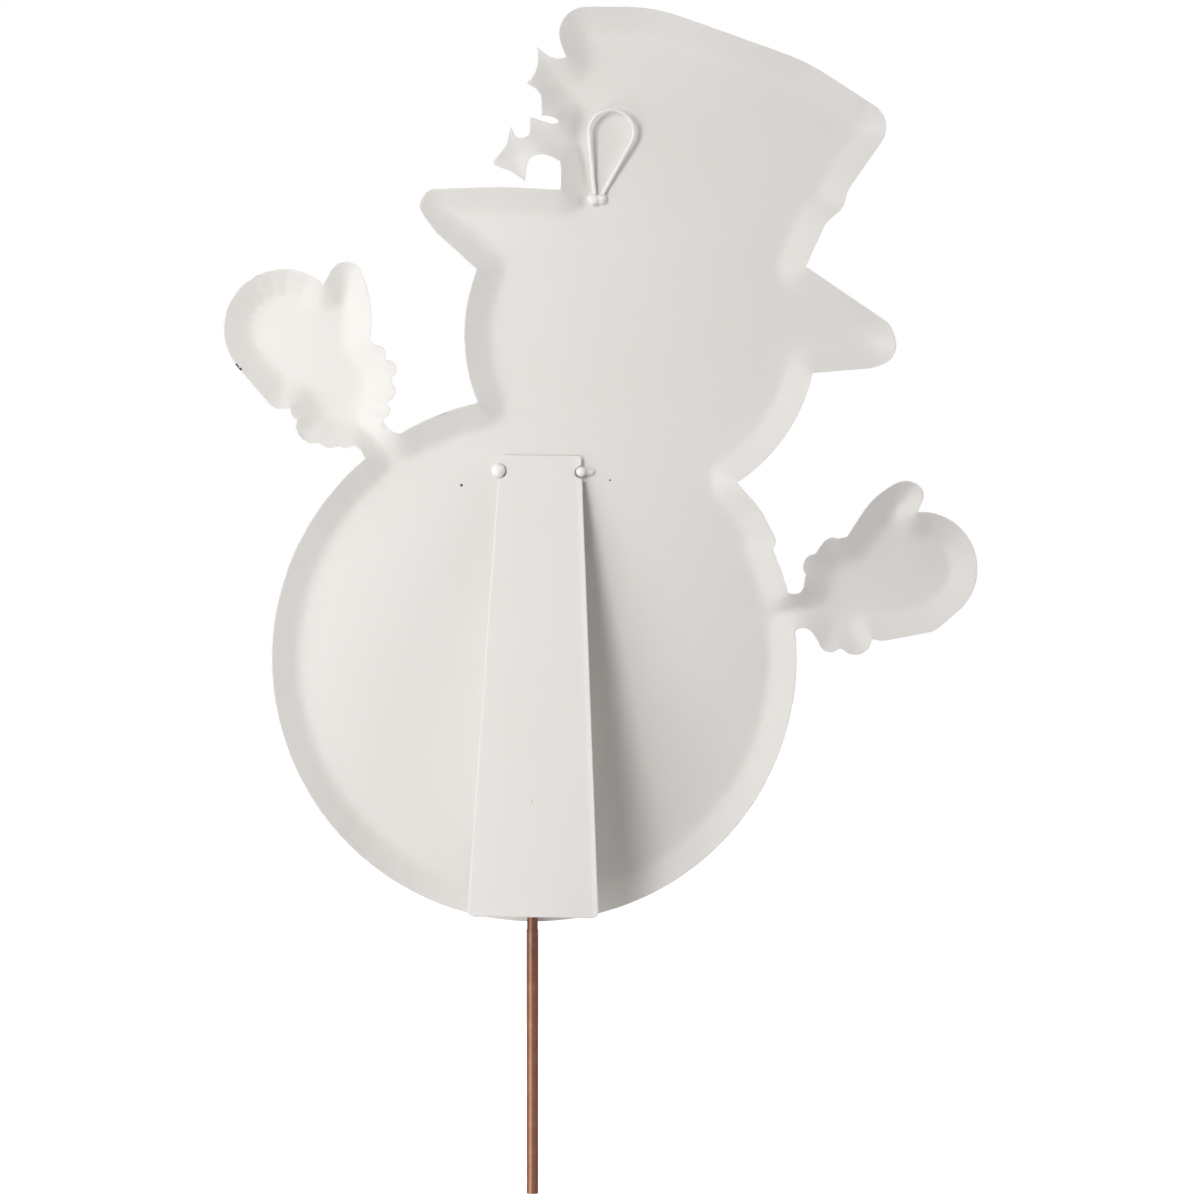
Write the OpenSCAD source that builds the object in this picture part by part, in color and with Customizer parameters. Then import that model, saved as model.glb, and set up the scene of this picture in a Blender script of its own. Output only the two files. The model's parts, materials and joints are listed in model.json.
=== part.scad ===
// Pressed sheet-steel snowman silhouette with a hinged easel leg, a wire hanging loop
// and a ground stake that plugs into a socket tube on its back.
// Millimetres. +Z is up, the painted front faces -Y and the hollow back faces +Y.
// The origin is on the stake's axis at its lower end.

/* [Sheet] */
// Thickness of the pressed steel sheet
sheet_t = 0.8; // [0.6:0.1:1.0]
// How far the rim is turned back from the flat middle
dish_depth = 8; // [6:0.5:9]
// Width of the sloping rim, seen from the back
rim_w = 15.5; // [12:0.5:17]

/* [Snowman] */
// Radius of the round body
body_r = 135.2; // [134:0.1:136]
// Radius of the round head
head_r = 90.8; // [90:0.1:92]

/* [Hanging loop] */
// Diameter of the loop's wire
loop_wire_d = 2; // [1.6:0.1:2.4]
// Radius of the loop's round end, to the middle of the wire
loop_r = 11.6; // [10:0.1:12]
// Distance from the flat back to the middle of the loop's wire at its round end
loop_standoff = 5; // [4:0.5:7]

/* [Easel leg] */
// Length of the leg from its top edge to its foot
leg_len = 242; // [230:0.5:248]
// Width of the leg at its top edge
leg_top_w = 42; // [38:0.5:46]
// Width of the leg at its foot
leg_foot_w = 67; // [60:0.5:72]
// Thickness of the leg's sheet
leg_t = 0.6; // [0.5:0.1:0.8]
// How far the leg stands open
leg_open = 13.5; // [10:0.5:14]
// Diameter of the hinge wire
pin_d = 1.2; // [1.0:0.1:1.2]
// Distance from the leg's top edge down to the hinge
tail_len = 8; // [8:0.5:10]

/* [Stake] */
// Diameter of the stake
stake_d = 6; // [5:0.5:6]
// Length of the round part of the stake
stake_round_len = 190; // [185:1:192]
// Length of the flattened tang on the stake's top end
tang_len = 8; // [6:0.5:9]
// Thickness of the tang across its flats
tang_t = 3.6; // [3:0.1:4]

/* [Hidden] */

// Depths along Y
lip_y = -4;
floor_y = lip_y - dish_depth;
front_y = floor_y - sheet_t;
// Width of the flat land round the rim's edge, and the least wall beside it
land_w = 0.5;
wall_w = 0.3;
thin = 0.2;

// Circles of the snowman, as [X, Z]
body_c = [-0.8, 275];
head_c = [-55.6, 441.8];
brim_corner = [-15, 516.7];

// Hinge: the wire lies just off the flat back, and the leg's sheet lies behind the wire
knuckle_gap = 0.05;
knuckle_r = pin_d / 2 + knuckle_gap;
knuckle_or = knuckle_r + leg_t;
pivot = [-3.9, floor_y + knuckle_or + 0.15, 371.8];
leg_lean = 0.8;
leg_inner = knuckle_r + 0.03;
knuckle_w = 6;
knuckle_x = 9;
notch_r = 4.1;
notch_drop = 0.25;
weld_r = 3.55;
weld_r_minus_x = 3.25;
weld_rise = 2.2;
weld_x = leg_top_w / 2 + 0.4;
foot_corner_r = 3;

// Hanging loop, as [X, Z]
loop_c = [-40.7, 546.9];
loop_foot = [-33.3, 512.3];
loop_foot_gap = loop_wire_d + 0.3;
bend_overlap = 2;
bend_ease = 0.03;

// Stake: full diameter in the ground, then a shoulder and a thinner shank for the socket
ground_len = 136;
shoulder_w = 0.25;
shank_r = stake_d / 2 - shoulder_w;

// Socket, its straps and their spot welds
bore_gap = 0.06;
socket_wall = 1;
socket_bore_r = shank_r + bore_gap;
socket_r = socket_bore_r + socket_wall;
socket_z0 = 147;
seat_gap = 0.2;
tang_gap = 0.15;
cap_t = 1.2;
strap_t = 0.8;
strap_w = 12;
strap_gap = 0.1;
strap_foot = 9;
strap_z_lower = 158;
strap_z_upper = 178;
spot_r = 2.2;
spot_h = 0.5;

back_colour = [0.88, 0.87, 0.86];
wire_colour = [0.93, 0.93, 0.92];
stake_colour = [0.55, 0.36, 0.28];

// ---- outline helpers ----

function unit(v) = v / norm(v);

// The points of the arc of radius r that rounds the corner p between a and b
function corner(a, p, b, r) =
    let (u = unit(a - p), v = unit(b - p), half = acos(u * v) / 2,
         centre = p + unit(u + v) * r / sin(half),
         s = p + u * r / tan(half) - centre, e = p + v * r / tan(half) - centre,
         from = atan2(s.y, s.x), turn = (atan2(e.y, e.x) - from + 540) % 360 - 180,
         n = max(2, ceil(abs(turn) / 14), ceil(abs(turn) * r / 230)))
    [for (i = [0:n]) centre + r * [cos(from + turn * i / n), sin(from + turn * i / n)]];

// An outline from its corners: [x, z] is a sharp corner, [x, z, r] a round one
function rounded(pts) =
    [for (i = [0:len(pts) - 1])
        let (n = len(pts), a = pts[(i + n - 1) % n], p = pts[i], b = pts[(i + 1) % n])
        each (len(p) == 2 ? [p] : corner([a.x, a.y], [p.x, p.y], [b.x, b.y], p.z))];

module disc(centre, r, n = 32) {
    translate(centre) circle(r = r, $fn = n);
}

// Stands an outline in the XZ plane up, from depth y0 to y1
module upright(y0, y1) {
    translate([0, y1, 0]) rotate([90, 0, 0]) linear_extrude(y1 - y0) children();
}

// ---- outline of the snowman, in the XZ plane ----

module body_outline() {
    disc(body_c, body_r, 168);
    // the arm's sleeve stands out a little at the shoulder
    polygon(rounded([[-96, 345], [-103.5, 368], [-117.5, 352, 30], [-126.3, 335, 6],
                     [-121.6, 328.5, 2], [-132, 305], [-110, 300]]));
}

module head_outline() {
    // the head stays below the brim where the brim meets the crown
    difference() {
        disc(head_c, head_r, 132);
        translate(brim_corner) square([head_r, head_r]);
    }
}

module hat_outline() {
    // crown, with the end of its band standing out low on the -X side
    polygon(rounded([[-17.3, 584.8, 1.5], [-7.5, 611, 14], [-62, 611.2, 90], [-141, 583, 110],
                     [-187.5, 552.7, 13], [-162.5, 516.5, 10], [-160, 507.5, 5],
                     [-151, 499.5, 7], [-140.8, 477.2], [-60, 460], [-12, 500],
                     [-14.2, 515], [-14.8, 524, 5], [-14, 532]]));
    // brim
    polygon(rounded([[-14.4, 516.8], [16, 518.3, 120], [54.6, 517, 6], [59, 507.5, 5],
                     [50, 495, 30], [28, 475], [-60, 450], [-143.6, 422.3, 1.5],
                     [-174.5, 424.8, 20], [-190.5, 430, 11], [-184.5, 447.4, 12],
                     [-140.8, 477.2, 1.5], [-60, 500]]));
}

module holly_outline() {
    // upper leaf
    polygon(rounded([[-30, 584], [-17.3, 585.2], [-12, 584, 6], [-7.5, 586.3, 12],
                     [-2.4, 590.2], [-3.2, 577, 16], [3.2, 571.6], [-4.6, 567.4, 8],
                     [-4.6, 555], [-9, 554.6], [-13.4, 552.8, 0.9], [-13.4, 550.8, 0.9],
                     [-30, 550]]));
    // lower leaf
    polygon(rounded([[-30, 551], [-13.4, 551.4], [-10, 550.8], [1.3, 554.3], [1.5, 543.8, 4],
                     [8.4, 543.2, 3], [11.3, 549.4], [13.2, 540, 10], [20.6, 531.1],
                     [19.4, 529.4], [11, 526.3, 40], [4.1, 521.2], [2.4, 533.4, 5.5],
                     [-5.5, 535.6, 8], [-14, 531.6], [-30, 531]]));
}

module plus_x_mitten_outline() {
    // fingers
    hull() {
        disc([128.2, 445], 30.9, 72);
        disc([129, 413.2], 9.6);
    }
    // thumb
    polygon(rounded([[110, 440], [83.8, 439.6], [81.7, 455, 60], [90.4, 482, 9],
                     [102.6, 478, 8], [106.9, 469.2], [125, 450]]));
    // fur cuff: its scallops, then its middle
    disc([80.5, 431.7], 5);
    disc([74.9, 424.2], 4.8);
    disc([76.3, 413], 5.6);
    disc([78.3, 403.2], 4.8);
    disc([96.4, 388], 4.6);
    disc([104.4, 389.6], 6);
    disc([112.8, 395.2], 9.2);
    disc([119.6, 403.5], 5.6);
    polygon([[84, 440], [76.1, 429.9], [72.5, 418], [74.9, 407.2], [77.2, 398.1],
             [92.3, 384.6], [98.9, 384.2], [109, 385.1], [121, 397.8], [123.8, 402.8],
             [130, 440]]);
    // arm
    polygon(rounded([[77.2, 398.1], [72.5, 391.4, 8], [62, 390.8, 6], [47, 394], [40, 370],
                     [88, 363], [91, 370.5, 3], [84.6, 377, 6], [90, 384.2, 5], [93, 385],
                     [95, 395]]));
}

module minus_x_mitten_outline() {
    // fingers
    hull() {
        disc([-199.9, 321.6], 29.3, 72);
        disc([-202, 300.4], 11.8);
        disc([-180, 296.4], 12);
    }
    // thumb
    polygon(rounded([[-162.1, 338], [-175.5, 359, 44], [-193, 368.8, 11], [-203, 361.5, 6.5],
                     [-198.6, 350.8], [-185, 320]]));
    // fur cuff: its scallops, then its middle
    disc([-146, 322.5], 6.7);
    disc([-154.8, 331.3], 6.4);
    disc([-153.4, 284.7], 6.2);
    disc([-166.2, 285.8], 8.6);
    polygon([[-140, 316], [-145.8, 329.5], [-150, 335.5], [-162.1, 338], [-185, 330],
             [-175.4, 285], [-160, 280], [-150, 282], [-146, 287]]);
    // arm
    polygon(rounded([[-125, 322], [-131.5, 308.6, 2.5], [-138.5, 308.6, 3.5], [-141, 318],
                     [-155, 320], [-148.5, 282], [-142.6, 290.8, 5], [-134, 290.8, 4],
                     [-134.6, 282], [-120, 280]]));
}

module figure_outline() {
    body_outline();
    head_outline();
    hat_outline();
    holly_outline();
    plus_x_mitten_outline();
    minus_x_mitten_outline();
}

// ---- pressed sheet ----

// A frustum whose wide end is the rim's lip and whose narrow end is the flat middle
module round_pan(centre, r) {
    translate([centre.x, floor_y, centre.y]) rotate([-90, 0, 0])
        cylinder(h = dish_depth, r1 = r - rim_w, r2 = r - land_w, $fn = 168);
}

// The same for a convex outline given in the XZ plane
module hull_pan() {
    hull() {
        upright(lip_y - thin, lip_y) offset(delta = -land_w) children();
        upright(floor_y, floor_y + thin) offset(delta = -rim_w) children();
    }
}

// The hollow side of the pressing: pans for body, head, hat crown, brim and mittens
module pans() {
    round_pan(body_c, body_r);
    round_pan(head_c, head_r);
    hull_pan() polygon(rounded([[-13.8, 440], [-12.4, 611, 14], [-62, 611.2, 90], [-141, 583, 110],
                                [-186, 553, 13], [-134, 462], [-120, 440]]));
    hull_pan() polygon(rounded([[-60, 518], [54.6, 517, 6], [59, 507.5, 5], [28, 475],
                                [-60, 440]]));
    hull_pan() polygon(rounded([[-40, 420], [-174.5, 424.8, 20], [-190.5, 430, 11],
                                [-184.5, 447.4, 12], [-120, 492], [-40, 500]]));
    hull_pan() { disc([128.2, 445], 30.9, 72); disc([97, 402], 20); }
    hull_pan() { disc([-199.9, 321.6], 29.3, 48); disc([-165, 307], 24); }
}

// The pans moved back by shift and kept inside the outline by inset
module pressed_pans(shift, inset) {
    intersection() {
        translate([0, shift, 0]) pans();
        upright(front_y - 1, lip_y + 1) offset(delta = -inset) figure_outline();
    }
}

module figure_shell() {
    color(back_colour)
    difference() {
        union() {
            pressed_pans(-sheet_t, 0);
            upright(lip_y - sheet_t, lip_y) figure_outline();
        }
        pressed_pans(0, wall_w);
    }
}

// ---- hanging loop ----

module hanging_loop() {
    rise = loop_c - loop_foot;
    reach = norm(rise);
    tilt = asin((loop_standoff - loop_wire_d / 2) / reach);
    slant = norm([reach, loop_foot_gap / 2]);
    spread = asin(loop_r / slant) - atan2(loop_foot_gap / 2, reach);
    color(wire_colour)
    translate([loop_foot.x, floor_y + loop_wire_d / 2, loop_foot.y])
    rotate([90 - tilt, 0, 0]) rotate([0, 0, atan2(rise.y, rise.x)]) {
        // the wire's two ends lie side by side at the foot
        for (side = [-1, 1])
            translate([0, side * loop_foot_gap / 2, 0]) rotate([0, 90, side * spread])
                cylinder(h = sqrt(slant * slant - loop_r * loop_r), d = loop_wire_d, $fn = 32);
        // the bend runs a little way into the straight ends and is a hair thinner
        translate([reach, 0, 0]) rotate([0, 0, -90 - spread - bend_overlap])
            rotate_extrude(angle = 180 + 2 * (spread + bend_overlap), $fn = 96)
                translate([loop_r, 0]) circle(d = loop_wire_d - bend_ease, $fn = 32);
    }
}

// A drop of solder of radius r on the flat back, standing h behind it
module solder_drop(x, z, r, h) {
    ball_r = (r * r + h * h) / (2 * h);
    intersection() {
        translate([x, floor_y + h - ball_r, z]) sphere(r = ball_r, $fn = 48);
        translate([x - 2 * r, floor_y, z - 2 * r]) cube([4 * r, h + 1, 4 * r]);
    }
}

module loop_weld() {
    color(wire_colour) solder_drop(loop_foot.x, loop_foot.y, 3.1, 2.8);
}

// ---- easel leg and its hinge ----

// Places what is drawn about the hinge axis (along X, the leg hanging down -Z)
module at_hinge(open) {
    translate(pivot) rotate([0, -leg_lean, 0]) rotate([open, 0, 0]) children();
}

// A cylinder along X, centred on x
module x_rod(x, r, len) {
    translate([x - len / 2, 0, 0]) rotate([0, 90, 0]) cylinder(r = r, h = len, $fn = 32);
}

module hinge_pin() {
    color(wire_colour) at_hinge(0) x_rod(0, pin_d / 2, 2 * weld_x);
}

// The drop that holds one end of the hinge wire and stands up through the leg's notch
module hinge_weld(side, r) {
    color(wire_colour)
    translate([pivot.x + side * weld_x * cos(leg_lean), floor_y,
               pivot.z + side * weld_x * sin(leg_lean)])
    rotate([-90, 0, 0]) rotate_extrude($fn = 48) intersection() {
        translate([0, weld_rise]) circle(r = r, $fn = 48);
        square(2 * r);
    }
}

module hinge_weld_left() {
    hinge_weld(1, weld_r);
}

module hinge_weld_right() {
    hinge_weld(-1, weld_r_minus_x);
}

module leg_outline() {
    top = tail_len;
    foot = tail_len - leg_len;
    difference() {
        polygon(rounded([[-leg_top_w / 2, top, 1], [leg_top_w / 2, top, 1],
                         [leg_foot_w / 2, foot, foot_corner_r],
                         [-leg_foot_w / 2, foot, foot_corner_r]]));
        for (side = [-1, 1]) disc([side * weld_x, -notch_drop], notch_r);
    }
}

module easel_leg() {
    color(back_colour)
    at_hinge(leg_open)
    difference() {
        union() {
            upright(leg_inner, leg_inner + leg_t) leg_outline();
            for (side = [-1, 1]) x_rod(side * knuckle_x, knuckle_or, knuckle_w);
        }
        x_rod(0, knuckle_r, leg_top_w);
    }
}

// ---- stake and its socket ----

module stake_socket() {
    tang_z0 = stake_round_len;
    tang_z1 = stake_round_len + tang_len + seat_gap;
    color(back_colour)
    difference() {
        translate([0, 0, socket_z0]) cylinder(r = socket_r, h = tang_z1 + cap_t - socket_z0, $fn = 64);
        translate([0, 0, socket_z0 - 1])
            cylinder(r = socket_bore_r, h = tang_z0 + seat_gap - socket_z0 + 1, $fn = 64);
        intersection() {
            translate([0, 0, tang_z0]) cylinder(r = socket_bore_r, h = tang_len + seat_gap, $fn = 64);
            translate([-stake_d, -tang_t / 2 - tang_gap, tang_z0])
                cube([2 * stake_d, tang_t + 2 * tang_gap, tang_len + seat_gap]);
        }
    }
}

// A strip folded round the socket with a foot on each side, from height z up
module socket_strap(z) {
    inner = socket_r + strap_gap;
    outer = inner + strap_t;
    color(back_colour)
    translate([0, 0, z]) linear_extrude(strap_w) {
        difference() {
            circle(r = outer, $fn = 64);
            circle(r = inner, $fn = 64);
            translate([-2 * outer, -2 * outer]) square([4 * outer, 2 * outer]);
        }
        for (side = [0, 1]) mirror([side, 0]) {
            translate([inner, floor_y]) square([strap_t, -floor_y]);
            translate([inner, floor_y]) square([strap_foot, strap_t]);
        }
    }
}

module socket_strap_lower() {
    socket_strap(strap_z_lower);
}

module socket_strap_upper() {
    socket_strap(strap_z_upper);
}

module socket_spot_welds() {
    x = socket_r + strap_gap + (strap_t + strap_foot) / 2;
    color(wire_colour)
    for (z = [strap_z_lower, strap_z_upper], side = [-1, 1])
        translate([side * x, floor_y + strap_t, z + strap_w / 2]) rotate([-90, 0, 0])
            cylinder(h = spot_h, r1 = spot_r, r2 = spot_r - spot_h, $fn = 32);
}

module stake() {
    color(stake_colour) {
        cylinder(d = stake_d, h = ground_len, $fn = 64);
        translate([0, 0, ground_len])
            cylinder(r = shank_r, h = stake_round_len - ground_len, $fn = 64);
        translate([0, 0, stake_round_len]) intersection() {
            cylinder(r = shank_r, h = tang_len, $fn = 64);
            translate([-stake_d, -tang_t / 2, 0]) cube([2 * stake_d, tang_t, tang_len]);
        }
    }
}

figure_shell();
hanging_loop();
loop_weld();
hinge_pin();
hinge_weld_left();
hinge_weld_right();
easel_leg();
stake_socket();
socket_strap_lower();
socket_strap_upper();
socket_spot_welds();
stake();
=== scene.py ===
"""Looks of the pressed-metal snowman: its sheet, paint, leg, solder, wire and stake."""

import json
import math

import bmesh
import bpy
import numpy as np
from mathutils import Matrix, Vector, geometry, kdtree, noise


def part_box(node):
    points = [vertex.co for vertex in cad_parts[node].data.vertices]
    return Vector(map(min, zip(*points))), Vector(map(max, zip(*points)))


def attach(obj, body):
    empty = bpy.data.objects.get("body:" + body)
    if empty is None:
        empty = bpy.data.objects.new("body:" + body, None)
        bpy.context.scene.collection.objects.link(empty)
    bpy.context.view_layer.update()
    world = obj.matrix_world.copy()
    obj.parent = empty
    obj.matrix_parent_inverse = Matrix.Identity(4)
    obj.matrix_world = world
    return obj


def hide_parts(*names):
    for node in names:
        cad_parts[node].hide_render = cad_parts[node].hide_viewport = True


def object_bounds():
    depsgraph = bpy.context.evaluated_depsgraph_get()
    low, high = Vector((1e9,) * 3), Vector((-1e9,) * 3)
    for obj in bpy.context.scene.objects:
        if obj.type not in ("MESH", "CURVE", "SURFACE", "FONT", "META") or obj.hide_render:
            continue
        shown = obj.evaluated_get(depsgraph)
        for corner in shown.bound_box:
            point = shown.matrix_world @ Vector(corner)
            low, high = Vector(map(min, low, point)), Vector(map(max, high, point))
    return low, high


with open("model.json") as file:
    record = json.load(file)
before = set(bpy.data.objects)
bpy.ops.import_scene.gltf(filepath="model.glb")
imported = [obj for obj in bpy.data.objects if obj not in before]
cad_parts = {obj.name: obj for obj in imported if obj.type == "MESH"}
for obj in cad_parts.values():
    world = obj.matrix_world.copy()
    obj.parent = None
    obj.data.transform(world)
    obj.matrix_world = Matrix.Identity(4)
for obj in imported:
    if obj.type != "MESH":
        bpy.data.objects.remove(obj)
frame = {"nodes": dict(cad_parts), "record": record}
cad_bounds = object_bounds()

MM = 0.001
MERGE = 2e-6                   # points this close are one point
WHITE = (1, 1, 1, 1)

# Pressed sheet
SHEET = 0.8 * MM
RIM_REACH = 15.8 * MM          # from the edge to where the flat middle starts
RIM_STRAIGHT = 0.72            # share of that reach over which the rim slopes evenly
TOOL_RADIUS = 9 * MM           # smallest hollow that the press forms fully
TOOL_SLACK = 0.05 * MM
EDGE_ROUND = 0.18 * MM
EDGE_TURN = 0.4 * MM           # how far in the normals lean over the cut edge
FLAT_BAND = 0.02 * MM          # how level the rearmost face of a CAD node is

# Mesh of the sheets. Rings are distances from the outline in millimetres.
RINGS = [0.25, 0.7, 1.4, 2.5, 3.8, 5.2, 6.6, 8.0, 9.2, 10.2, 11.2, 12.2, 13.2, 14.3, 15.8, 17.5]
RING_SLACK = 0.03 * MM
RING_SPACING = 0.6             # gap between a ring's points as a share of the gap between rings
WIDEST_SPACING = 0.95 * MM
OUTLINE_STEP = 1.6 * MM
TOOL_STEP = OUTLINE_STEP / 5
GRID_STEP = 5 * MM
ART_STEP = 1.8 * MM
CORNER = math.radians(25)      # an outline that turns more than this has a corner there
FAN_STEP = math.radians(9)
LOOP_PASSES = 5
LOOP_SHARES = (0.5, -0.53)     # one step inward and one outward, so that the outline keeps its size
SMOOTHING_PASSES = 6
NORMAL_PASSES = 4
PULL = 0.6                     # share by which a point follows its neighbours in a pass
NEAREST = 0.05 * MM

# Easel leg
LEG_SHEET = 0.6 * MM
LEG_RINGS = [0.2, 0.5, 1.0, 1.8, 2.8, 4.0, 6.0]
LEG_GRID = 4 * MM
LEG_STEP = 1.5 * MM
LEG_CORNERS = ((3, 8), (3, 8), (1, 5), (1, 5))    # radius in millimetres and steps, foot first
LEG_EDGE_ROUND = 0.15 * MM
LEG_EDGE_REACH = 0.5 * MM
LEG_LIP_W = 3.2 * MM
LEG_LIP_RISE = 0.45 * MM
FOOT_LIP_SHARE = 0.3           # rise of the foot's lip as a share of that of the side lip
BEND_START = 3 * MM            # the sheet bends outward from this far below the hinge wire
BEND_SLOPE = math.tan(math.radians(4))
FOOT_BAND = 0.3 * MM
TOP_BAND = 2.5 * MM
SAME_PLACE = 0.01 * MM

# Notches in the leg's edges round the solder, and knuckles round the hinge wire
NOTCH_GAP = 0.5 * MM
NOTCH_DROP = 0.25 * MM
NOTCH_STEPS = 16
NOTCHES = ((1, "hinge_weld_left", 3.65 * MM), (-1, "hinge_weld_right", 3.0 * MM))
KNUCKLES = (-9 * MM, 9 * MM)
KNUCKLE_W = 6 * MM
KNUCKLE_BORE = 0.68 * MM
KNUCKLE_SHEET = 0.55 * MM
KNUCKLE_START = 90             # degrees from straight up
KNUCKLE_SWEEP = 290
KNUCKLE_STEPS = 30

# Solder
SOLDER_ROWS = 34
SOLDER_COLS = 56
SOLDER_BLEND = 0.35 * MM       # how softly the lobes run together
SOLDER_GRAIN = 1.9
SOLDER_SINK = 0.2 * MM         # how far it goes into the sheet
FLARE_HEIGHT = 0.9 * MM        # below this height it spreads on the sheet
FLARE = 0.10
# Name, CAD node, node that it sits by, middle from there (across, off the sheet, up), lobes as
# (offset, radius), unevenness and seed. Sizes are in millimetres.
LUMPS = (("solder_left", "hinge_weld_left", "hinge_weld_left", (0, 2.4, 0),
          (((0, 0, 0), 3.55), ((0.3, 0.5, 0.2), 3.35)), 0.07, 3.0),
         ("solder_right", "hinge_weld_right", "hinge_weld_right", (0, 2.0, 0),
          (((0.35, 0.7, 0), 2.55), ((0.1, 0, 0.1), 2.6)), 0.06, 7.0),
         ("solder_tail", None, "hinge_weld_right", (-4.0, 0.7, -0.1),
          (((1.0, 0.2, 0), 1.9), ((-1.2, 0, 0.1), 1.6)), 0.12, 5.0),
         ("solder_loop", "loop_weld", "loop_weld", (0, 1.3, 0),
          (((1.9, 0.4, -0.2), 3.2), ((-2.1, 0.1, 0.1), 2.8)), 0.10, 11.0))

# Marks in the enamel, as (x, z, radius) in millimetres
MITTEN_CHIPS = ((-6.4, 426.4, 0.85), (-8.5, 424.4, 0.8), (-7.4, 425.4, 0.55))  # from +X edge, foot
LEFT_CHIP = (19.3, -7.4, 0.75)     # from the solder at the hinge's +X end
RIGHT_CHIP = (-14.6, -4.2, 0.5)    # from the solder at its -X end
LEG_STAIN = (-17.5, -169.4, 0.6)   # from the solder at its +X end
RAG_SCALE = 1400
RAG = 1.1                      # raggedness, in radii
SPOT_EDGE = (1.75, 1.35)       # where a spot ends and where it is full, in radii

# Paint
SHEET_COLOUR = (0.812, 0.785, 0.757)
WIRE_COLOUR = (0.89, 0.87, 0.845)
SOLDER_COLOUR = (0.93, 0.92, 0.90)
SECOND_TONE = (0.985, 0.982, 0.978)    # share of the first tone
MOTTLE_SCALE = 14
MOTTLE_RANGE = (0.35, 0.65)
SPECKS = (42, 0.022, 0.955)    # cells to a metre, size in cells, share of cells without one
SPECK_COLOUR = (0.45, 0.43, 0.41, 1)
STAIN_COLOUR = (0.58, 0.58, 0.47, 1)
CHIP_COLOUR = (0.035, 0.04, 0.045, 1)
ENAMEL_ROUGH = 0.5
ENAMEL_SHINE = 0.35
ENAMEL_DENTS = ((7, 2.2 * MM, 0.10), (420, 0.12 * MM, 0.16))
PAINT_ROUGH = 0.42
PAINT_SHINE = 0.4
PAINT_RANGE = (0.35, 0.68)
PAINT_DETAIL = 5
PAINT_DENTS = ((420, 0.1 * MM, 0.15),)
SECOND_SHARE = 0.86
SNOW_COLOUR = (0.88, 0.89, 0.90, 1)
SNOW_EDGE_COLOUR = (0.50, 0.66, 0.80, 1)
SNOW_EDGE = (0.034, 0.002)     # metres from the outline where the blue starts and is full
BLUSH_COLOUR = (0.86, 0.36, 0.34, 1)
CHEEKS = (((-0.083, -0.0128, 0.381), 0.017), ((-0.006, -0.0128, 0.406), 0.017))
STAKE_LOW_COLOUR = (0.37, 0.158, 0.094, 1)
# Painted shade: the darker colour at the stake's top stands in for the shade that the leg casts there
STAKE_SHADED_TOP_COLOUR = (0.31, 0.122, 0.068, 1)
STAKE_WORN_COLOUR = (0.46, 0.25, 0.165, 1)
STAKE_METAL = 0.2
STAKE_ROUGH = 0.36
# Painted shade on the stake: between these heights its colour darkens towards the leg above it
STAKE_PAINTED_SHADE = (0.0, 0.14)      # heights in metres between which the stake grows darker
WEAR_SCALE = 160
WEAR_RANGE = (0.45, 0.75, 0, 0.5)
STAKE_DENTS = ((500, 0.15 * MM, 0.25),)

# Studio
FILL = 0.2
FLOOR_GLOW = 0.95
FLOOR_HALF = 14.0
FLOOR_COLOUR = (0.9, 0.9, 0.9, 1)
FLOOR_ROUGH = 0.9
# Lamps: name, place from the middle of the figure, watts, width
LAMPS = (("key", (0.45, 0.75, 0.35), 4.1, 0.4), ("low", (0.5, 0.5, -0.28), 3.7, 0.6),
         ("high", (0.25, 0.35, 0.75), 0.23, 0.4), ("side", (-0.9, 0.3, 0.3), 2.59, 0.5),
         ("far", (1.2, 0.5, 0.5), 1.37, 0.5), ("front_key", (0.5, -0.85, 0.45), 6.2, 0.5),
         ("front_soft", (-0.7, -0.7, 0.2), 3.5, 0.6))
CAMERA_AWAY = 3.0
CAMERA_SHIFT = (0.3 * MM, -8 * MM, -0.2 * MM)
SENSOR = 36
FIGURE_SHARE = 0.98708333      # of the picture's height that the figure and stake take up


# ---- plane geometry ----

def merged(name):
    """A CAD node's points and triangles, with points at one place merged."""
    mesh = frame["nodes"][name].data
    co = np.array([v.co for v in mesh.vertices], float)
    mesh.calc_loop_triangles()
    tris = np.array([t.vertices for t in mesh.loop_triangles], int)
    keys, where = np.unique(np.round(co / MERGE).astype(int), axis=0, return_inverse=True)
    pts = np.zeros((len(keys), 3))
    pts[where.ravel()] = co
    tris = where.ravel()[tris]
    ok = (tris[:, 0] != tris[:, 1]) & (tris[:, 1] != tris[:, 2]) & (tris[:, 2] != tris[:, 0])
    return pts, tris[ok]


def unit(rows):
    return rows / np.linalg.norm(rows, axis=1)[:, None]


def area(loop):
    """The loop's area, positive if it runs anticlockwise."""
    x, z = loop[:, 0], loop[:, 1]
    return 0.5 * np.sum(x * np.roll(z, -1) - np.roll(x, -1) * z)


def rear_outline(name):
    """The outline of a node's rearmost flat face, as (x, z) points, anticlockwise."""
    pts, tris = merged(name)
    rear = pts[:, 1].max()
    flat = tris[(pts[tris, 1] > rear - FLAT_BAND).all(axis=1)]
    follow = {}
    for t in flat:
        for a, b in ((t[0], t[1]), (t[1], t[2]), (t[2], t[0])):
            if a in follow.get(b, ()):
                follow[b].remove(a)
            else:
                follow.setdefault(a, []).append(b)
    loops = []
    while any(follow.values()):
        start = next(a for a, b in follow.items() if b)
        loop, at = [start], follow[start].pop()
        while at != start and follow.get(at):
            loop.append(at)
            at = follow[at].pop()
        loops.append(pts[loop][:, [0, 2]])
    best = max(loops, key=lambda p: abs(area(p)))
    return best if area(best) > 0 else best[::-1]


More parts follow.
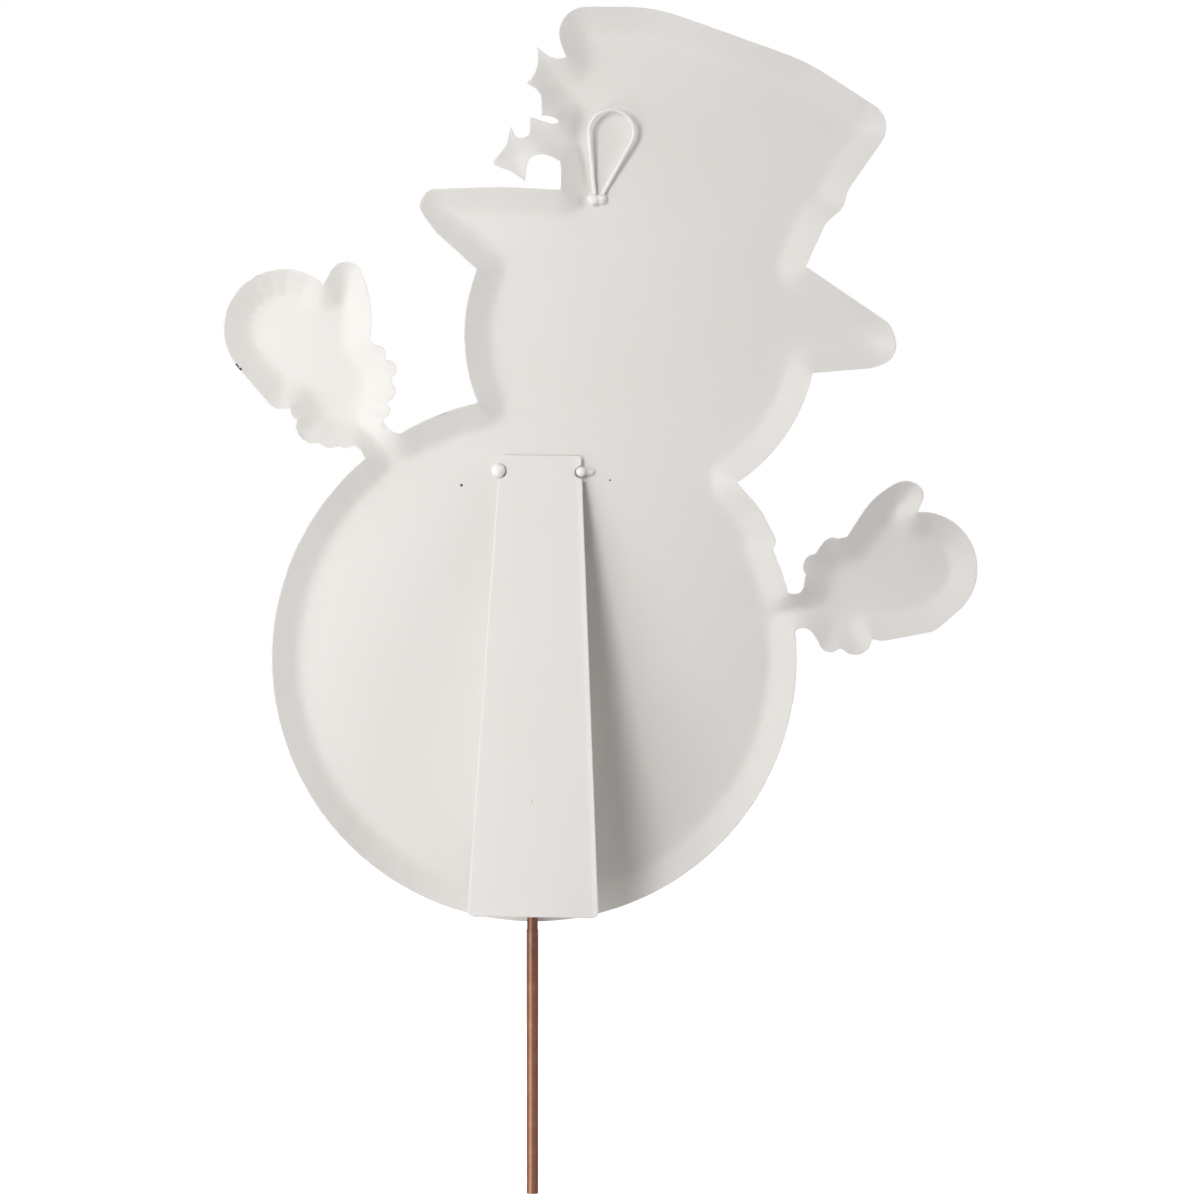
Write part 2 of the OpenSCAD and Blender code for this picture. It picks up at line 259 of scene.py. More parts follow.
def bowed(pts, step):
    """The loop with extra points, bowed where it turns gently, and which of its points are corners."""
    seg = np.roll(pts, -1, axis=0) - pts
    size = np.linalg.norm(seg, axis=1)
    way = seg / size[:, None]
    back, ahead = np.roll(way, 1, axis=0), way
    turn = np.arccos(np.clip((back * ahead).sum(axis=1), -1, 1))
    mean = back * np.roll(size, 1)[:, None] + ahead * size[:, None]
    mean = unit(mean)
    sharp = turn > CORNER
    out, corner = [], []
    for i, p in enumerate(pts):
        j = (i + 1) % len(pts)
        m0 = (ahead[i] if sharp[i] else mean[i]) * size[i]
        m1 = (back[j] if sharp[j] else mean[j]) * size[i]
        n = max(1, math.ceil(size[i] / step))
        for k in range(n):
            s = k / n
            out.append((2 * s**3 - 3 * s**2 + 1) * p + (s**3 - 2 * s**2 + s) * m0
                       + (3 * s**2 - 2 * s**3) * pts[j] + (s**3 - s**2) * m1)
            corner.append(bool(sharp[i]) and k == 0)
    return np.array(out), np.array(corner)


def smooth_loop(pts, step):
    """The loop with evenly spaced points, smooth between its corners."""
    fine, corner = bowed(pts, step / 4)
    marks = np.nonzero(corner)[0]
    if len(marks) == 0:
        marks = np.array([0])
    out, held = [], []
    for i, start in enumerate(marks):
        stop = marks[(i + 1) % len(marks)]
        stop = stop if stop > start else stop + len(fine)
        part = fine[np.arange(start, stop + 1) % len(fine)]
        along = np.concatenate([[0], np.cumsum(np.linalg.norm(np.diff(part, axis=0), axis=1))])
        n = max(1, round(along[-1] / step))
        at = np.linspace(0, along[-1], n + 1)[:-1]
        out.append(np.stack([np.interp(at, along, part[:, c]) for c in (0, 1)], axis=1))
        held += [True] + [False] * (n - 1)
    out, held = np.concatenate(out), np.array(held)[:, None]
    for share in LOOP_SHARES * LOOP_PASSES:
        near = (np.roll(out, 1, axis=0) + np.roll(out, -1, axis=0)) / 2
        out = np.where(held, out, out + share * (near - out))
    return out


def distance(p, loop):
    """Each point's distance from the loop."""
    a, b = loop, np.roll(loop, -1, axis=0)
    ab = b - a
    size = (ab**2).sum(axis=1)
    best = np.full(len(p), 1e9)
    for i in range(0, len(p), 2000):
        q = p[i:i + 2000, None, :] - a[None]
        t = np.clip((q * ab).sum(axis=2) / size, 0, 1)
        away = q - t[:, :, None] * ab
        best[i:i + 2000] = np.sqrt((away**2).sum(axis=2).min(axis=1))
    return best


def inside(p, loop):
    """Which points lie inside the loop."""
    a, b = loop, np.roll(loop, -1, axis=0)
    hit = np.zeros(len(p), bool)
    for (ax, az), (bx, bz) in zip(a, b):
        if az == bz:
            continue
        crosses = (az > p[:, 1]) != (bz > p[:, 1])
        x = ax + (p[:, 1] - az) / (bz - az) * (bx - ax)
        hit ^= crosses & (p[:, 0] < x)
    return hit


def rays(loop):
    """Points and inward directions all round the loop, fanned out at its inward corners."""
    way = unit(np.roll(loop, -1, axis=0) - loop)
    normal = np.stack([-way[:, 1], way[:, 0]], axis=1)
    before = np.roll(normal, 1, axis=0)
    start, aim = [], []
    for p, m, n in zip(loop, before, normal):
        turn = math.atan2(m[0] * n[1] - m[1] * n[0], float(m @ n))
        steps = max(0, math.ceil(-turn / FAN_STEP)) if turn < 0 else 0
        for k in range(steps + 1):
            s = k / steps if steps else 0.5
            d = m * (1 - s) + n * s
            start.append(p)
            aim.append(d / np.linalg.norm(d))
    return np.array(start), np.array(aim)


def thinned(points, gap, taken):
    """The points that are at least gap from those already taken, which they then join."""
    kept = []
    for p in points:
        cell = (math.floor(p[0] / MM), math.floor(p[1] / MM))
        near = [q for i in (-1, 0, 1) for j in (-1, 0, 1)
                for q in taken.get((cell[0] + i, cell[1] + j), ())]
        if all((p[0] - q[0])**2 + (p[1] - q[1])**2 > gap * gap for q in near):
            taken.setdefault(cell, []).append(p)
            kept.append(p)
    return kept


def tidied(pts, tris):
    """The points that the triangles use, and the triangles turned anticlockwise."""
    used = np.unique(tris)
    place = np.full(len(pts), -1)
    place[used] = np.arange(len(used))
    pts, tris = pts[used], place[tris]
    a, b, c = pts[tris[:, 0]], pts[tris[:, 1]], pts[tris[:, 2]]
    turn = (b[:, 0] - a[:, 0]) * (c[:, 1] - a[:, 1]) - (b[:, 1] - a[:, 1]) * (c[:, 0] - a[:, 0])
    tris[turn < 0] = tris[turn < 0][:, ::-1]
    return pts, tris


def fill(loop, rings, step, lines=()):
    """Points and triangles that fill the loop, finest near its edge, with lines kept as edges."""
    taken, inner = {}, []
    thinned(loop, 0, taken)
    start, aim = rays(loop)
    last = 0.0
    for ring in rings:
        r = ring * MM
        p = start + aim * r
        p = p[inside(p, loop) & (distance(p, loop) > r - RING_SLACK)]
        inner += thinned(p, min(RING_SPACING * (r - last), WIDEST_SPACING), taken)
        last = r
    low, high = loop.min(axis=0), loop.max(axis=0)
    xs = np.arange(low[0], high[0], step)
    zs = np.arange(low[1], high[1], step * math.sqrt(0.75))
    grid = np.array([(x + (k % 2) * step / 2, z) for k, z in enumerate(zs) for x in xs])
    grid = grid[inside(grid, loop)]
    inner += list(grid[distance(grid, loop) > last + 0.3 * step])
    points = [Vector(p) for p in loop]
    edges = [(i, (i + 1) % len(loop)) for i in range(len(loop))]
    for line in lines:
        first = len(points)
        points += [Vector(p) for p in line]
        edges += [(first + i, first + (i + 1) % len(line)) for i in range(len(line))]
    points += [Vector(p) for p in inner]
    out, _, tris, *_ = geometry.delaunay_2d_cdt(points, edges, [], 0, 1e-6)
    pts = np.array([tuple(p) for p in out])
    tris = np.array([t for t in tris], int)
    tris = tris[inside(pts[tris].mean(axis=1), loop)]
    return tidied(pts, tris)


def rim_edges(tris):
    """The directed edges that only one triangle uses."""
    every = np.concatenate([tris[:, [0, 1]], tris[:, [1, 2]], tris[:, [2, 0]]])
    keys = {(a, b) for a, b in every.tolist()}
    return [(a, b) for a, b in keys if (b, a) not in keys]


def softened(h, pts, tris, passes, hold_rim=True):
    """Values on the points, evened out over the mesh. The outline can keep its own."""
    every = np.concatenate([tris[:, [0, 1]], tris[:, [1, 2]], tris[:, [2, 0]]])
    e = np.unique(np.sort(every, axis=1), axis=0)
    w = 1 / (np.linalg.norm(pts[e[:, 0]] - pts[e[:, 1]], axis=1) + NEAREST)
    held = np.zeros(len(h), bool)
    if hold_rim:
        held[[a for a, _ in rim_edges(tris)]] = True
    total = np.bincount(e[:, 0], w, len(h)) + np.bincount(e[:, 1], w, len(h))
    for _ in range(passes):
        near = (np.bincount(e[:, 0], w * h[e[:, 1]], len(h))
                + np.bincount(e[:, 1], w * h[e[:, 0]], len(h))) / total
        h = np.where(held, h, (1 - PULL) * h + PULL * near)
    return h


def gradient(h, pts, tris, passes=0):
    """How fast the values change along x and z at each point."""
    a, b, c = pts[tris[:, 0]], pts[tris[:, 1]], pts[tris[:, 2]]
    u, v = b - a, c - a
    hu, hv = h[tris[:, 1]] - h[tris[:, 0]], h[tris[:, 2]] - h[tris[:, 0]]
    out = []
    for total in (hu * v[:, 1] - hv * u[:, 1], hv * u[:, 0] - hu * v[:, 0]):
        out.append(sum(np.bincount(tris[:, k], total, len(h)) for k in range(3)))
    double = u[:, 0] * v[:, 1] - u[:, 1] * v[:, 0]
    double = sum(np.bincount(tris[:, k], double, len(h)) for k in range(3))
    return [softened(g / double, pts, tris, passes, False) for g in out]


def smooth_normals(obj, h, d, pts, tris):
    """Gives a two-sided sheet the normals of its smooth shape, turned outward at its cut edge."""
    gx, gz = gradient(h, pts, tris, NORMAL_PASSES)
    back = unit(np.stack([-gx, np.ones(len(h)), -gz], axis=1))
    dx, dz = gradient(d, pts, tris)
    out = -np.stack([dx, np.zeros(len(h)), dz], axis=1)
    out *= (np.clip(1 - d / EDGE_TURN, 0, 1) / (np.linalg.norm(out, axis=1) + 1e-9))[:, None]
    normals = unit(np.concatenate([back + out, out - back]))
    obj.data.normals_split_custom_set_from_vertices([tuple(n) for n in normals])


def divided(loop, step):
    """The loop with its long sides cut into steps."""
    out = []
    for p, q in zip(loop, np.roll(loop, -1, axis=0)):
        n = max(1, math.ceil(np.linalg.norm(q - p) / step))
        out += [p + (q - p) * k / n for k in range(n)]
    return np.array(out)


def make_object(name, verts, faces, materials, which=None):
    """A smooth-shaded mesh object; which gives each face's material."""
    mesh = bpy.data.meshes.new(name)
    mesh.from_pydata([tuple(v) for v in verts], [], [tuple(f) for f in faces])
    for m in materials:
        mesh.materials.append(m)
    if which is not None:
        mesh.polygons.foreach_set("material_index", np.array(which, np.int32))
    mesh.polygons.foreach_set("use_smooth", np.ones(len(mesh.polygons), bool))
    mesh.update()
    obj = bpy.data.objects.new(name, mesh)
    bpy.context.scene.collection.objects.link(obj)
    return obj


# ---- paint ----

def tree(name):
    """A new material, its node tree and its shader."""
    mat = bpy.data.materials.new(name)
    mat.use_nodes = True
    nt = mat.node_tree
    return mat, nt, nt.nodes["Principled BSDF"]


def feed(nt, pairs):
    """Gives each socket its value, which is another socket or a plain value."""
    for socket, value in pairs:
        if isinstance(value, bpy.types.NodeSocket):
            nt.links.new(value, socket)
        else:
            socket.default_value = value


def mix(nt, factor, a, b):
    """A colour mix: factor, a and b are sockets or plain values."""
    node = nt.nodes.new("ShaderNodeMix")
    node.data_type = "RGBA"
    feed(nt, ((node.inputs[0], factor), (node.inputs[6], a), (node.inputs[7], b)))
    return node.outputs[2]


def sums(nt, operation, *values):
    """A maths node on sockets or plain values."""
    node = nt.nodes.new("ShaderNodeMath")
    node.operation = operation
    feed(nt, zip(node.inputs, values))
    return node.outputs[0]


def away_from(nt, where, point):
    """The distance from a fixed point."""
    node = nt.nodes.new("ShaderNodeVectorMath")
    node.operation = "DISTANCE"
    feed(nt, ((node.inputs[0], where), (node.inputs[1], point)))
    return node.outputs["Value"]


def graded(nt, value, low, high, out_low=0.0, out_high=1.0):
    """A value mapped from low..high to out_low..out_high, and held there beyond."""
    node = nt.nodes.new("ShaderNodeMapRange")
    node.inputs["From Min"].default_value = low
    node.inputs["From Max"].default_value = high
    node.inputs["To Min"].default_value = out_low
    node.inputs["To Max"].default_value = out_high
    nt.links.new(value, node.inputs["Value"])
    return node.outputs["Result"]


def cloud(nt, where, scale, detail=3.0):
    """Soft noise, mostly between 0.3 and 0.7."""
    node = nt.nodes.new("ShaderNodeTexNoise")
    node.inputs["Scale"].default_value = scale
    node.inputs["Detail"].default_value = detail
    nt.links.new(where, node.inputs["Vector"])
    return node.outputs["Fac"]


def object_place(nt):
    return nt.nodes.new("ShaderNodeTexCoord").outputs["Object"]


def dents(nt, bsdf, where, layers):
    """Bumps from noise: each layer is (scale, height in metres, strength)."""
    last = None
    for scale, height, strength in layers:
        bump = nt.nodes.new("ShaderNodeBump")
        bump.inputs["Strength"].default_value = strength
        bump.inputs["Distance"].default_value = height
        nt.links.new(cloud(nt, where, scale), bump.inputs["Height"])
        if last is not None:
            nt.links.new(last, bump.inputs["Normal"])
        last = bump.outputs["Normal"]
    nt.links.new(last, bsdf.inputs["Normal"])


def near_spots(nt, where, spots):
    """1 inside ragged spots, each (x, z, radius), and 0 outside, at any depth."""
    rag = nt.nodes.new("ShaderNodeTexNoise")
    rag.inputs["Scale"].default_value = RAG_SCALE
    nt.links.new(where, rag.inputs["Vector"])
    flat = nt.nodes.new("ShaderNodeVectorMath")
    flat.operation = "MULTIPLY"
    feed(nt, ((flat.inputs[0], where), (flat.inputs[1], (1, 0, 1))))
    total = None
    for x, z, radius in spots:
        gap = away_from(nt, flat.outputs[0], (x, 0, z))
        ragged = sums(nt, "MULTIPLY_ADD", rag.outputs["Fac"], RAG * radius, gap)
        hit = graded(nt, ragged, *(edge * radius for edge in SPOT_EDGE))
        total = hit if total is None else sums(nt, "MAXIMUM", total, hit)
    return total


def specks(nt, where, scale, size, rare):
    """A scatter of tiny round specks: one in a few cells of a pattern has one."""
    cells = nt.nodes.new("ShaderNodeTexVoronoi")
    cells.inputs["Scale"].default_value = scale
    nt.links.new(where, cells.inputs["Vector"])
    dot = graded(nt, cells.outputs["Distance"], size, 0.7 * size)
    pick = nt.nodes.new("ShaderNodeSeparateColor")
    nt.links.new(cells.outputs["Color"], pick.inputs["Color"])
    chosen = graded(nt, pick.outputs[0], rare, rare + 0.01)
    return sums(nt, "MULTIPLY", dot, chosen)


def enamel(name, colour, chips=(), stains=()):
    """Satin off-white powder coat with faint mottling, specks and a few chips."""
    mat, nt, bsdf = tree(name)
    where = object_place(nt)
    second = [c * share for c, share in zip(colour, SECOND_TONE)]
    mottle = graded(nt, cloud(nt, where, MOTTLE_SCALE), *MOTTLE_RANGE)
    tint = mix(nt, mottle, (*colour, 1), (*second, 1))
    tint = mix(nt, specks(nt, where, *SPECKS), tint, SPECK_COLOUR)
    if stains:
        tint = mix(nt, near_spots(nt, where, stains), tint, STAIN_COLOUR)
    if chips:
        tint = mix(nt, near_spots(nt, where, chips), tint, CHIP_COLOUR)
    nt.links.new(tint, bsdf.inputs["Base Color"])
    bsdf.inputs["Roughness"].default_value = ENAMEL_ROUGH
    bsdf.inputs["Specular IOR Level"].default_value = ENAMEL_SHINE
    dents(nt, bsdf, where, ENAMEL_DENTS)
    return mat


def paint(name, colour, second=None, scale=30):
    """Satin front paint, mottled between two close colours."""
    mat, nt, bsdf = tree(name)
    where = object_place(nt)
    second = second or tuple(SECOND_SHARE * c for c in colour)
    mottle = graded(nt, cloud(nt, where, scale, PAINT_DETAIL), *PAINT_RANGE)
    tint = mix(nt, mottle, (*colour, 1), (*second, 1))
    nt.links.new(tint, bsdf.inputs["Base Color"])
    bsdf.inputs["Roughness"].default_value = PAINT_ROUGH
    bsdf.inputs["Specular IOR Level"].default_value = PAINT_SHINE
    dents(nt, bsdf, where, PAINT_DENTS)
    return mat


def snow_paint():
    """White paint, pale blue towards the edges, with soft pink cheeks."""
    mat, nt, bsdf = tree("paint_snow")
    where = object_place(nt)
    rim = nt.nodes.new("ShaderNodeAttribute")
    rim.attribute_name = "rim"
    cold = graded(nt, rim.outputs["Fac"], *SNOW_EDGE)
    cold = sums(nt, "ADD", cold, sums(nt, "MULTIPLY_ADD", cloud(nt, where, 35, 4), 0.5, -0.25))
    cold.node.use_clamp = True
    tint = mix(nt, cold, SNOW_COLOUR, SNOW_EDGE_COLOUR)
    for point, radius in CHEEKS:
        gap = away_from(nt, where, point)
        tint = mix(nt, graded(nt, gap, radius, 0.2 * radius, 0, 0.55), tint, BLUSH_COLOUR)
    nt.links.new(tint, bsdf.inputs["Base Color"])
    bsdf.inputs["Roughness"].default_value = PAINT_ROUGH
    dents(nt, bsdf, where, PAINT_DENTS)
    return mat


def stake_paint():
    """Copper-brown paint, a little worn, with painted shade that darkens it towards its top, where the leg
    shades it.
    """
    mat, nt, bsdf = tree("stake_brown")
    where = object_place(nt)
    parts = nt.nodes.new("ShaderNodeSeparateXYZ")
    nt.links.new(where, parts.inputs[0])
    # painted shade: the stake grows darker towards its top, where the leg shades it
    along = graded(nt, parts.outputs["Z"], *STAKE_PAINTED_SHADE)
    tint = mix(nt, along, STAKE_LOW_COLOUR, STAKE_SHADED_TOP_COLOUR)
    worn = graded(nt, cloud(nt, where, WEAR_SCALE, PAINT_DETAIL), *WEAR_RANGE)
    tint = mix(nt, worn, tint, STAKE_WORN_COLOUR)
    nt.links.new(tint, bsdf.inputs["Base Color"])
    bsdf.inputs["Metallic"].default_value = STAKE_METAL
    bsdf.inputs["Roughness"].default_value = STAKE_ROUGH
    dents(nt, bsdf, where, STAKE_DENTS)
    return mat


# ---- painted front, in millimetres, as (x, z) ----

def ellipse(x, z, rx, rz=None, turn=0.0, n=36):
    """An ellipse, or a circle without rz, turned by degrees."""
    rz = rx if rz is None else rz
    c, s = math.cos(math.radians(turn)), math.sin(math.radians(turn))
    out = []
    for k in range(n):
        a = 2 * math.pi * k / n
        u, v = rx * math.cos(a), rz * math.sin(a)
        out.append((x + u * c - v * s, z + u * s + v * c))
    return np.array(out)


def through(points, closed=False, n=8):
    """A smooth curve through the points."""
    p = [np.array(q, float) for q in points]
    count = len(p)
    out = []
    for i in range(count if closed else count - 1):
        b, c = p[i], p[(i + 1) % count]
        a = p[i - 1] if closed or i > 0 else 2 * b - c
        d = p[(i + 2) % count] if closed or i + 2 < count else 2 * c - b
        for k in range(n):
            t = k / n
            out.append(0.5 * (2 * b + (c - a) * t + (2 * a - 5 * b + 4 * c - d) * t * t
                              + (3 * b - a - 3 * c + d) * t**3))
    if not closed:
        out.append(p[-1])
    return np.array(out)


def stroke(points, width, taper=False):
    """The outline of a brush stroke along a smooth curve."""
    line = through(points)
    way = unit(np.gradient(line, axis=0))
    side = np.stack([-way[:, 1], way[:, 0]], axis=1) * width / 2
    if taper:
        side *= np.sqrt(np.linspace(1, 0.03, len(line)))[:, None]
    return np.concatenate([line + side, (line - side)[::-1]])


def leaf(base, tip, width, spikes=3):
    """A holly leaf between two points."""
    base, tip = np.array(base, float), np.array(tip, float)
    way = tip - base
    side = np.array([-way[1], way[0]]) / np.linalg.norm(way) * width / 2
    right, left = [], []
    for k in range(spikes + 1):
        a = k / (spikes + 1)
        for part, reach in ((0.0, 1.0), (0.35, 0.55), (0.7, 0.62)):
            t = a + (part + (0.12 if k else 0.3)) / (spikes + 1)
            bulge = reach * math.sin(math.pi * min(1, 0.12 + 0.88 * t)) ** 0.6
            right.append(base + way * t + side * bulge)
            left.append(base + way * t - side * bulge)
    return np.array([base, *right, tip, *left[::-1]])


HAT_FOOT = [(-200, 462), (-160, 468), (-140.8, 477.2), (-105, 479), (-68, 489), (-38, 502),
            (-14.4, 517.2), (0, 524), (60, 540)]
BRIM_LOW = [(-200, 424), (-174, 420), (-143.6, 422.3), (-112, 421), (-76, 428), (-38, 444),
            (0, 460), (28, 475), (50, 492), (70, 500)]
SCARF_TOP = [(52, 420), (27, 401), (4, 381), (-28, 368), (-62, 365), (-94, 370), (-130, 386)]
SCARF_LOW = [(62, 394), (40, 371), (12, 350), (-26, 338), (-66, 333), (-104, 334), (-140, 322)]


def hat():
    """The top hat with its band, creases and brim."""
    top = through(HAT_FOOT)
    yield "charcoal", np.concatenate([top, [(70, 640), (-210, 640)]])
    band = top + np.array([-9.0, 31.0])
    yield "red", np.concatenate([top, band[::-1]])
    yield "dark_red", stroke([p + np.array([-8.2, 28.0]) for p in top[::8]], 1.2)
    for k in range(5):
        s = 0.17 * k
        yield "slate", stroke([(-26 - 28 * k, 604 - 4 * k * k), (-30 - 27 * k, 575 - 4 * k * k - 9 * s),
                               (-31 - 26 * k, 548 - 4 * k * k)], 1.6 - 0.2 * k, True)
    low = through(BRIM_LOW)
    yield "charcoal", np.concatenate([low, top[::-1]])
    yield "slate", stroke([p + np.array([0.4, -2.2]) for p in top[8:-16:8]], 1.3)
    yield "slate", stroke([p + np.array([-1.0, 3.4]) for p in low[8:-8:8]], 1.6)


def holly():
    """The holly on the hat's band: four leaves, their veins and three berries."""
    yield "leaf", leaf((-40, 547), (-104, 566), 30)
    yield "leaf", np.array([(-44, 552), (-36, 566), (-27, 571), (-22, 582), (-14, 590), (2, 596),
                            (10, 570), (-2, 553.2), (-16, 551.8), (-30, 551)])
    yield "leaf", np.array([(-40, 545), (-30, 551), (-14, 551.2), (4, 560), (26, 534), (4, 521),
                            (-8, 528), (-20, 529), (-30, 533)])
    yield "leaf", leaf((-38, 541), (-72, 508), 24)
    for line in ([(-42, 548), (-70, 554), (-99, 564)], [(-34, 556), (-20, 569), (-6, 585)],
                 [(-34, 543), (-12, 541), (15, 532)], [(-40, 539), (-54, 526), (-69, 511)]):
        yield "leaf_light", stroke(line, 1.5, True)
    for x, z, r in ((-41, 553, 6.6), (-31.5, 546.5, 7), (-42, 540, 6.4)):
        yield "berry", ellipse(x, z, r)
        yield "light", ellipse(x - 2.2, z + 2.4, 1.3, n=14)


def face():
    """Eyes, brows, a mouth of coals and a carrot nose, all tilted with the head."""
    tilt = math.radians(18)
    u = np.array([math.cos(tilt), math.sin(tilt)])
    v = np.array([-u[1], u[0]])
    mid = np.array([-44.0, 400.0])
    for side in (-1, 1):
        x, z = mid + 27 * side * u + 13 * v
        yield "coal", ellipse(x, z, 6.6, 7.8, 18)
        yield "light", ellipse(x - 2, z + 2.6, 1.7, n=14)
        brow = mid + 27 * side * u + 25.5 * v
        yield "line", stroke([brow - 7 * u - 1.5 * v, brow + 1.5 * v, brow + 7 * u - 1.5 * v], 1.7)
    for k in range(7):
        a = math.radians(-152 + 124 * k / 6)
        x, z = mid + 36 * math.cos(a) * u + (36 * math.sin(a) + 9) * v
        yield "coal", ellipse(x, z, 2.9, n=18)
    base, tip = mid + 5 * u - 1 * v, mid - 50 * u - 8 * v
    rise = 8.6 * v
    yield "carrot", through([base + 5 * u, base + rise, 0.6 * base + 0.4 * tip + 0.62 * rise, tip + 1.2 * v,
                             tip - 1.2 * v, 0.6 * base + 0.4 * tip - 0.62 * rise, base - rise], True)
    for k, reach in enumerate((0.2, 0.42, 0.63)):
        at = base + (tip - base) * reach
        up = (0.75 - 0.9 * reach) * rise * (1 if k % 2 else -1)
        yield "carrot_dark", stroke([at + up, at + 0.2 * up + 0.8 * u, at - 0.1 * up], 1.1, True)


def scarf():
    """The scarf with its two fringed tails, stripes and knot."""
    top, low = through(SCARF_TOP), through(SCARF_LOW)
    for x0, x1, x2, x3, z1 in ((-66, -50, -64, -93, 262), (-84, -66, -96, -122, 272)):
        tail = [(x0 - 6, 352), (x1 + 6, 350), (x1 + 2, 310), (x2, z1), (x3, z1 + 8), (x0 - 16, 310)]
        yield "red", np.array(tail)
        yield "dark_red", stroke([(x1 + 2, 338), (x1 - 1, 308), (x2, z1 + 1)], 1.3)
        for k in range(3):
            z = 322 - 17 * k
            x = x1 - 2.2 * k - 1
            yield "light", stroke([(x + 1.5, z), (x - 13, z + 1.5), (x - 27.5, z + 4)], 3.2)
        for k in range(7):
            x = x3 + 2 + (x2 - x3 - 4) * k / 6
            z = z1 + 8 - 8 * k / 6
            yield "red", stroke([(x, z + 3), (x - 1.2, z - 4), (x - 2.6, z - 11)], 2.4, True)
    yield "red", np.concatenate([top, low[::-1]])
    for k in range(3, len(top) - 2, 4):
        a, b = top[k], low[k]
        yield "light", stroke([a, (a + b) / 2 + np.array([0.8, 0.6]), b], 3.0)
    yield "dark_red", stroke([p + np.array([0.0, -2.4]) for p in top[::8]], 1.2)
    yield "dark_red", stroke([p + np.array([0.0, 2.6]) for p in low[::8]], 1.5)
    yield "red", ellipse(-72, 349, 17, 15, 20)
    yield "dark_red", stroke([(-84, 357), (-72, 352), (-62, 358)], 1.2)
    yield "dark_red", stroke([(-85, 343), (-73, 346), (-60, 341)], 1.2)


def arms():
    """Mittens with snowflakes, fur cuffs and twig arms."""
    yield "mitten", np.array([(70, 395), (62, 500), (175, 500), (175, 370), (110, 370)])
    yield "mitten", np.array([(-150, 268), (-152, 385), (-245, 385), (-245, 268)])
    yield "mitten_line", stroke([(104, 470), (106, 455), (101, 440), (104, 428)], 1.6, True)
    yield "mitten_line", stroke([(-197, 352), (-188, 340), (-184, 327), (-190, 314)], 1.6, True)
    for x, z in ((118, 452), (142, 436), (-212, 330), (-196, 300)):
        for a in (0, 60, 120):
            c, s = math.cos(math.radians(a)), math.sin(math.radians(a))
            yield "light", stroke([(x - 7 * c, z - 7 * s), (x, z), (x + 7 * c, z + 7 * s)], 1.3)
    for ends in (((83, 441), (127, 402)), ((-162, 340), (-175, 280))):
        (ax, az), (bx, bz) = ends
        for k in range(5):
            t = (k + 0.5) / 5
            yield "fur", ellipse(ax + (bx - ax) * t, az + (bz - az) * t, 7.2, n=20)
    yield "fur", np.array([(60, 428), (83, 441), (127, 404), (127, 390), (104, 375), (70, 400)])
    yield "fur", np.array([(-135, 335), (-162, 342), (-176, 278), (-146, 272)])
    yield "twig", np.array([(40, 380), (66, 402), (78, 403), (99, 385.5), (92, 360), (50, 340)])
    yield "twig", np.array([(-110, 312), (-148, 312), (-150, 288), (-110, 284)])
    for line in ([(56, 380), (74, 390), (88, 392)], [(-122, 299), (-134, 302), (-146, 299)]):
        yield "line", stroke(line, 0.9, True)


def front_art():
    """The painted shapes, each (paint, outline), the later ones over the earlier ones."""
    yield from arms()
    yield "snow", ellipse(-0.8, 275, 135.3, n=150)
    yield "snow", ellipse(-55.6, 441.8, 90.9, n=110)
    yield from hat()
    yield from holly()
    yield from face()
    yield from scarf()
    for x, z in ((2, 300), (4, 250), (0, 200)):
        yield "coal", ellipse(x, z, 9.6, 9.2)
        yield "slate", stroke([(x - 6, z + 3), (x - 2.5, z + 6.2), (x + 2.5, z + 6)], 1.3, True)
        yield "light", ellipse(x - 3.4, z + 3, 1.5, n=14)


# Colour, second colour and scale of the mottling
FRONT_PAINTS = {
    "charcoal": ((0.022, 0.022, 0.026), (0.035, 0.035, 0.042)),
    "slate": ((0.16, 0.17, 0.20),),
    "red": ((0.48, 0.022, 0.022), (0.36, 0.014, 0.018)),
    "dark_red": ((0.20, 0.008, 0.012),),
    "leaf": ((0.03, 0.17, 0.045), (0.018, 0.11, 0.03)),
    "leaf_light": ((0.22, 0.42, 0.14),),
    "berry": ((0.55, 0.012, 0.012),),
    "light": ((0.86, 0.86, 0.84),),
    "coal": ((0.016, 0.016, 0.018), (0.03, 0.03, 0.034)),
    "line": ((0.09, 0.06, 0.05),),
    "carrot": ((0.78, 0.21, 0.03), (0.66, 0.15, 0.02)),
    "carrot_dark": ((0.42, 0.08, 0.012),),
    "mitten": ((0.03, 0.16, 0.075), (0.02, 0.115, 0.055)),
    "mitten_line": ((0.01, 0.06, 0.03),),
    "fur": ((0.84, 0.83, 0.80), (0.66, 0.68, 0.70), 140),
    "twig": ((0.19, 0.095, 0.045), (0.12, 0.055, 0.025), 90),
}


def front_paints():
    """The front's materials by the names that the art uses."""
    paints = {"snow": snow_paint()}
    for name, colours in FRONT_PAINTS.items():
        paints[name] = paint("paint_" + name, *colours)
    return paints


# ---- pressed sheet ----

def rim_profile(d):
    """Share of the full depth at a distance from the edge."""
    t = np.clip(d / RIM_REACH, 0, 1)
    fall = 2 / (1 + RIM_STRAIGHT)
    bend = (t - RIM_STRAIGHT) / (1 - RIM_STRAIGHT)
    eased = fall * RIM_STRAIGHT + fall * (1 - RIM_STRAIGHT) * (bend - bend**2 / 2)
    return np.where(t < RIM_STRAIGHT, fall * t, eased)


